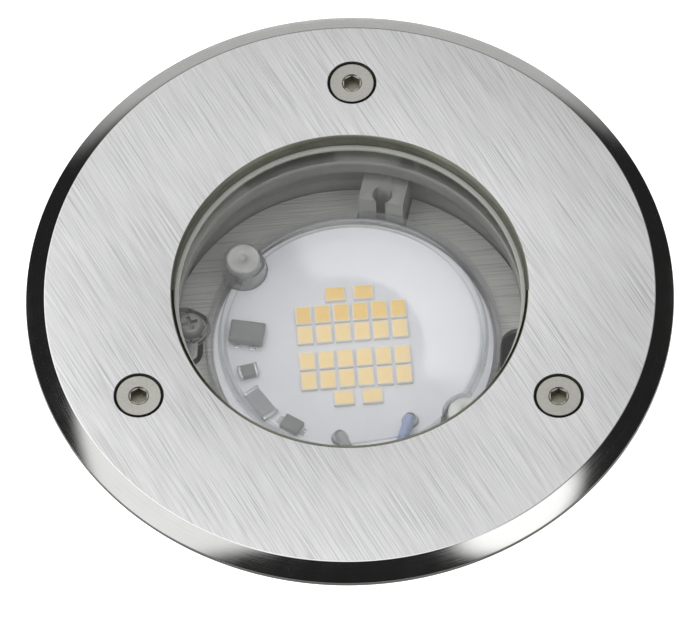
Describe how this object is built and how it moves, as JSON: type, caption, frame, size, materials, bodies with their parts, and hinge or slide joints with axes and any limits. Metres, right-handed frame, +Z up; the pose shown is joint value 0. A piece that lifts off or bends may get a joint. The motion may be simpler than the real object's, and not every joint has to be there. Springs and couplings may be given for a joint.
{
  "type": "in ground well light",
  "caption": "Round recessed ground light: a stainless trim ring and flat window over a light module in a cast housing, in a mounting sleeve with cable slots.",
  "frame": {"origin": "bottom centre of the mounting sleeve, on the plane of its foot", "axes": "+Z up along the sleeve, towards the window; the back cover screw lies in the +Y direction and the cable gland in the +X direction"},
  "size_m": [0.11, 0.11, 0.106],
  "materials": {
    "sleeve": "moulded, fine grain",
    "casting": "die cast, matt",
    "brass": "turned",
    "plate": "brushed",
    "screw": "plain stainless",
    "pad": "soft",
    "board": "white solder mask",
    "chip": "silicone with phosphor",
    "package": "moulded",
    "solder": "tin",
    "clear": "clear moulded",
    "nylon": "translucent",
    "live": "grey silicone",
    "neutral": "blue silicone",
    "earth": "green with a yellow stripe",
    "block": "moulded",
    "gland": "moulded",
    "seal": "soft",
    "glass": "polished",
    "silicone": "soft, pale grey",
    "stainless": "brushed face, polished bevel"
  },
  "bodies": {
    "sleeve": {"mounting_sleeve": "sleeve"},
    "luminaire": {"housing": "casting", "threaded_inserts": "brass", "mounting_plate": "plate", "plate_screws": "screw", "thermal_pad": "pad", "led_board": "board", "led_chips": "chip", "bridge_rectifier": "package", "surge_absorber": "package", "chip_resistor": "package", "driver_chip": "package", "solder_joints": "solder", "led_cover": "clear", "cover_rivets": "nylon", "live_lead": "live", "neutral_lead": "neutral", "earth_lead": "earth", "earth_lug": "solder", "earth_washer": "screw", "earth_screw": "screw", "terminal_block": "block", "terminal_sleeves": "brass", "terminal_screws": "screw", "block_screws": "screw", "gland_body": "gland", "gland_seal": "seal", "gland_oring": "seal", "gland_locknut": "gland"},
    "window": {"window_glass": "glass", "glass_gasket": "silicone"},
    "cover": {"trim_ring": "stainless"},
    "screw_back": {"cover_screw_back": "screw"},
    "screw_left": {"cover_screw_left": "screw"},
    "screw_right": {"cover_screw_right": "screw"},
    "nut": {"gland_nut": "gland"}
  },
  "joints": [
    {"name": "luminaire_lift", "type": "slide", "parent": "sleeve", "child": "luminaire", "axis": [0, 0, 1], "range_m": [0, 0.09]},
    {"name": "cover_lift", "type": "slide", "parent": "luminaire", "child": "cover", "axis": [0, 0, 1], "range_m": [0, 0.03]},
    {"name": "window_lift", "type": "slide", "parent": "luminaire", "child": "window", "axis": [0, 0, 1], "range_m": [0, 0.015]},
    {"name": "screw_back_out", "type": "slide", "parent": "cover", "child": "screw_back", "axis": [0, 0, 1], "range_m": [0, 0.01]},
    {"name": "screw_left_out", "type": "slide", "parent": "cover", "child": "screw_left", "axis": [0, 0, 1], "range_m": [0, 0.01]},
    {"name": "screw_right_out", "type": "slide", "parent": "cover", "child": "screw_right", "axis": [0, 0, 1], "range_m": [0, 0.01]},
    {"name": "gland_nut_turn", "type": "hinge", "parent": "luminaire", "child": "nut", "pos_m": [0.015, 0, 0.025], "axis": [0, 0, 1], "range_deg": [0, 360]}
  ],
  "couplings": [
    {"joint": "window_lift", "follows": "cover_lift", "ratio": 0.5}
  ]
}
